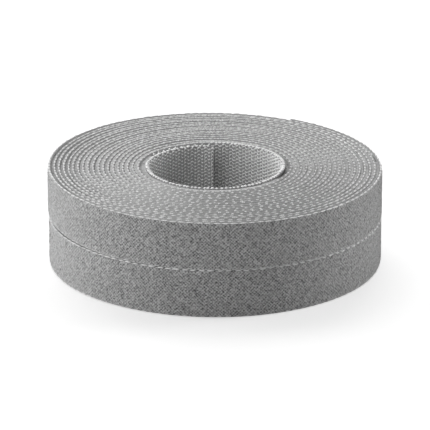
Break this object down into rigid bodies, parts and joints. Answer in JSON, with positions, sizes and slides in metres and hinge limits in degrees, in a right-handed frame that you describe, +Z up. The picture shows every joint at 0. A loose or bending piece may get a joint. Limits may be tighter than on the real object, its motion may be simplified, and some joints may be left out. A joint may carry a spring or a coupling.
{
  "type": "hook and loop tape roll",
  "caption": "Stacked rolls of grey double-sided hook and loop tape wound without a core; the tape's free ends peel and the upper roll lifts off.",
  "frame": {"origin": "on the axis of the stacked rolls, on the surface that the lower roll stands on", "axes": "+Z up along the rolls' axis, +X to the right and -Y towards the viewer of the picture"},
  "size_m": [0.1082, 0.1088, 0.0323],
  "materials": {
    "grey_tape": "grey nylon tape, hooks on the face towards the bore, soft loop pile on the outer face, pale selvedge along both edges"
  },
  "bodies": {
    "lower_roll": {"lower_roll_winding": "grey_tape"},
    "lower_tail_1": {"lower_tail_link_1": "grey_tape"},
    "lower_tail_2": {"lower_tail_link_2": "grey_tape"},
    "lower_tail_3": {"lower_tail_link_3": "grey_tape"},
    "lower_tail_4": {"lower_tail_link_4": "grey_tape"},
    "lower_inner_1": {"lower_inner_end_1": "grey_tape"},
    "lower_inner_2": {"lower_inner_end_2": "grey_tape"},
    "upper_roll": {"upper_roll_winding": "grey_tape"},
    "upper_tail_1": {"upper_tail_link_1": "grey_tape"},
    "upper_tail_2": {"upper_tail_link_2": "grey_tape"},
    "upper_tail_3": {"upper_tail_link_3": "grey_tape"},
    "upper_tail_4": {"upper_tail_link_4": "grey_tape"},
    "upper_inner_1": {"upper_inner_end_1": "grey_tape"},
    "upper_inner_2": {"upper_inner_end_2": "grey_tape"}
  },
  "joints": [
    {"name": "upper_roll_lift", "type": "slide", "parent": "lower_roll", "child": "upper_roll", "axis": [0, 0, 1], "range_m": [0, 0.05]},
    {"name": "lower_tail_peel_1", "type": "hinge", "parent": "lower_roll", "child": "lower_tail_1", "pos_m": [0.02593, 0.04807, 0.008], "axis": [0, 0, -1], "range_deg": [0, 30]},
    {"name": "lower_tail_peel_2", "type": "hinge", "parent": "lower_tail_1", "child": "lower_tail_2", "pos_m": [0.01622, 0.0522, 0.008], "axis": [0, 0, -1], "range_deg": [0, 30]},
    {"name": "lower_tail_peel_3", "type": "hinge", "parent": "lower_tail_2", "child": "lower_tail_3", "pos_m": [0.00588, 0.0544, 0.008], "axis": [0, 0, -1], "range_deg": [0, 30]},
    {"name": "lower_tail_peel_4", "type": "hinge", "parent": "lower_tail_3", "child": "lower_tail_4", "pos_m": [-0.00469, 0.05456, 0.008], "axis": [0, 0, -1], "range_deg": [0, 30]},
    {"name": "lower_inner_peel_1", "type": "hinge", "parent": "lower_roll", "child": "lower_inner_1", "pos_m": [-0.02073, -0.00222, 0.008], "axis": [0, 0, -1], "range_deg": [0, 25]},
    {"name": "lower_inner_peel_2", "type": "hinge", "parent": "lower_inner_1", "child": "lower_inner_2", "pos_m": [-0.01959, 0.00653, 0.008], "axis": [0, 0, -1], "range_deg": [0, 25]},
    {"name": "upper_tail_peel_1", "type": "hinge", "parent": "upper_roll", "child": "upper_tail_1", "pos_m": [0.05233, 0.01565, 0.0243], "axis": [0, 0, -1], "range_deg": [0, 30]},
    {"name": "upper_tail_peel_2", "type": "hinge", "parent": "upper_tail_1", "child": "upper_tail_2", "pos_m": [0.04838, 0.02544, 0.0243], "axis": [0, 0, -1], "range_deg": [0, 30]},
    {"name": "upper_tail_peel_3", "type": "hinge", "parent": "upper_tail_2", "child": "upper_tail_3", "pos_m": [0.04263, 0.0343, 0.0243], "axis": [0, 0, -1], "range_deg": [0, 30]},
    {"name": "upper_tail_peel_4", "type": "hinge", "parent": "upper_tail_3", "child": "upper_tail_4", "pos_m": [0.03527, 0.0419, 0.0243], "axis": [0, 0, -1], "range_deg": [0, 30]},
    {"name": "upper_inner_peel_1", "type": "hinge", "parent": "upper_roll", "child": "upper_inner_1", "pos_m": [-0.01623, 0.01309, 0.0243], "axis": [0, 0, -1], "range_deg": [0, 25]},
    {"name": "upper_inner_peel_2", "type": "hinge", "parent": "upper_inner_1", "child": "upper_inner_2", "pos_m": [-0.00923, 0.01847, 0.0243], "axis": [0, 0, -1], "range_deg": [0, 25]}
  ],
  "couplings": [
    {"joint": "lower_tail_peel_2", "follows": "lower_tail_peel_1", "ratio": 1},
    {"joint": "lower_tail_peel_3", "follows": "lower_tail_peel_1", "ratio": 1},
    {"joint": "lower_tail_peel_4", "follows": "lower_tail_peel_1", "ratio": 1},
    {"joint": "lower_inner_peel_2", "follows": "lower_inner_peel_1", "ratio": 1},
    {"joint": "upper_tail_peel_2", "follows": "upper_tail_peel_1", "ratio": 1},
    {"joint": "upper_tail_peel_3", "follows": "upper_tail_peel_1", "ratio": 1},
    {"joint": "upper_tail_peel_4", "follows": "upper_tail_peel_1", "ratio": 1},
    {"joint": "upper_inner_peel_2", "follows": "upper_inner_peel_1", "ratio": 1}
  ]
}
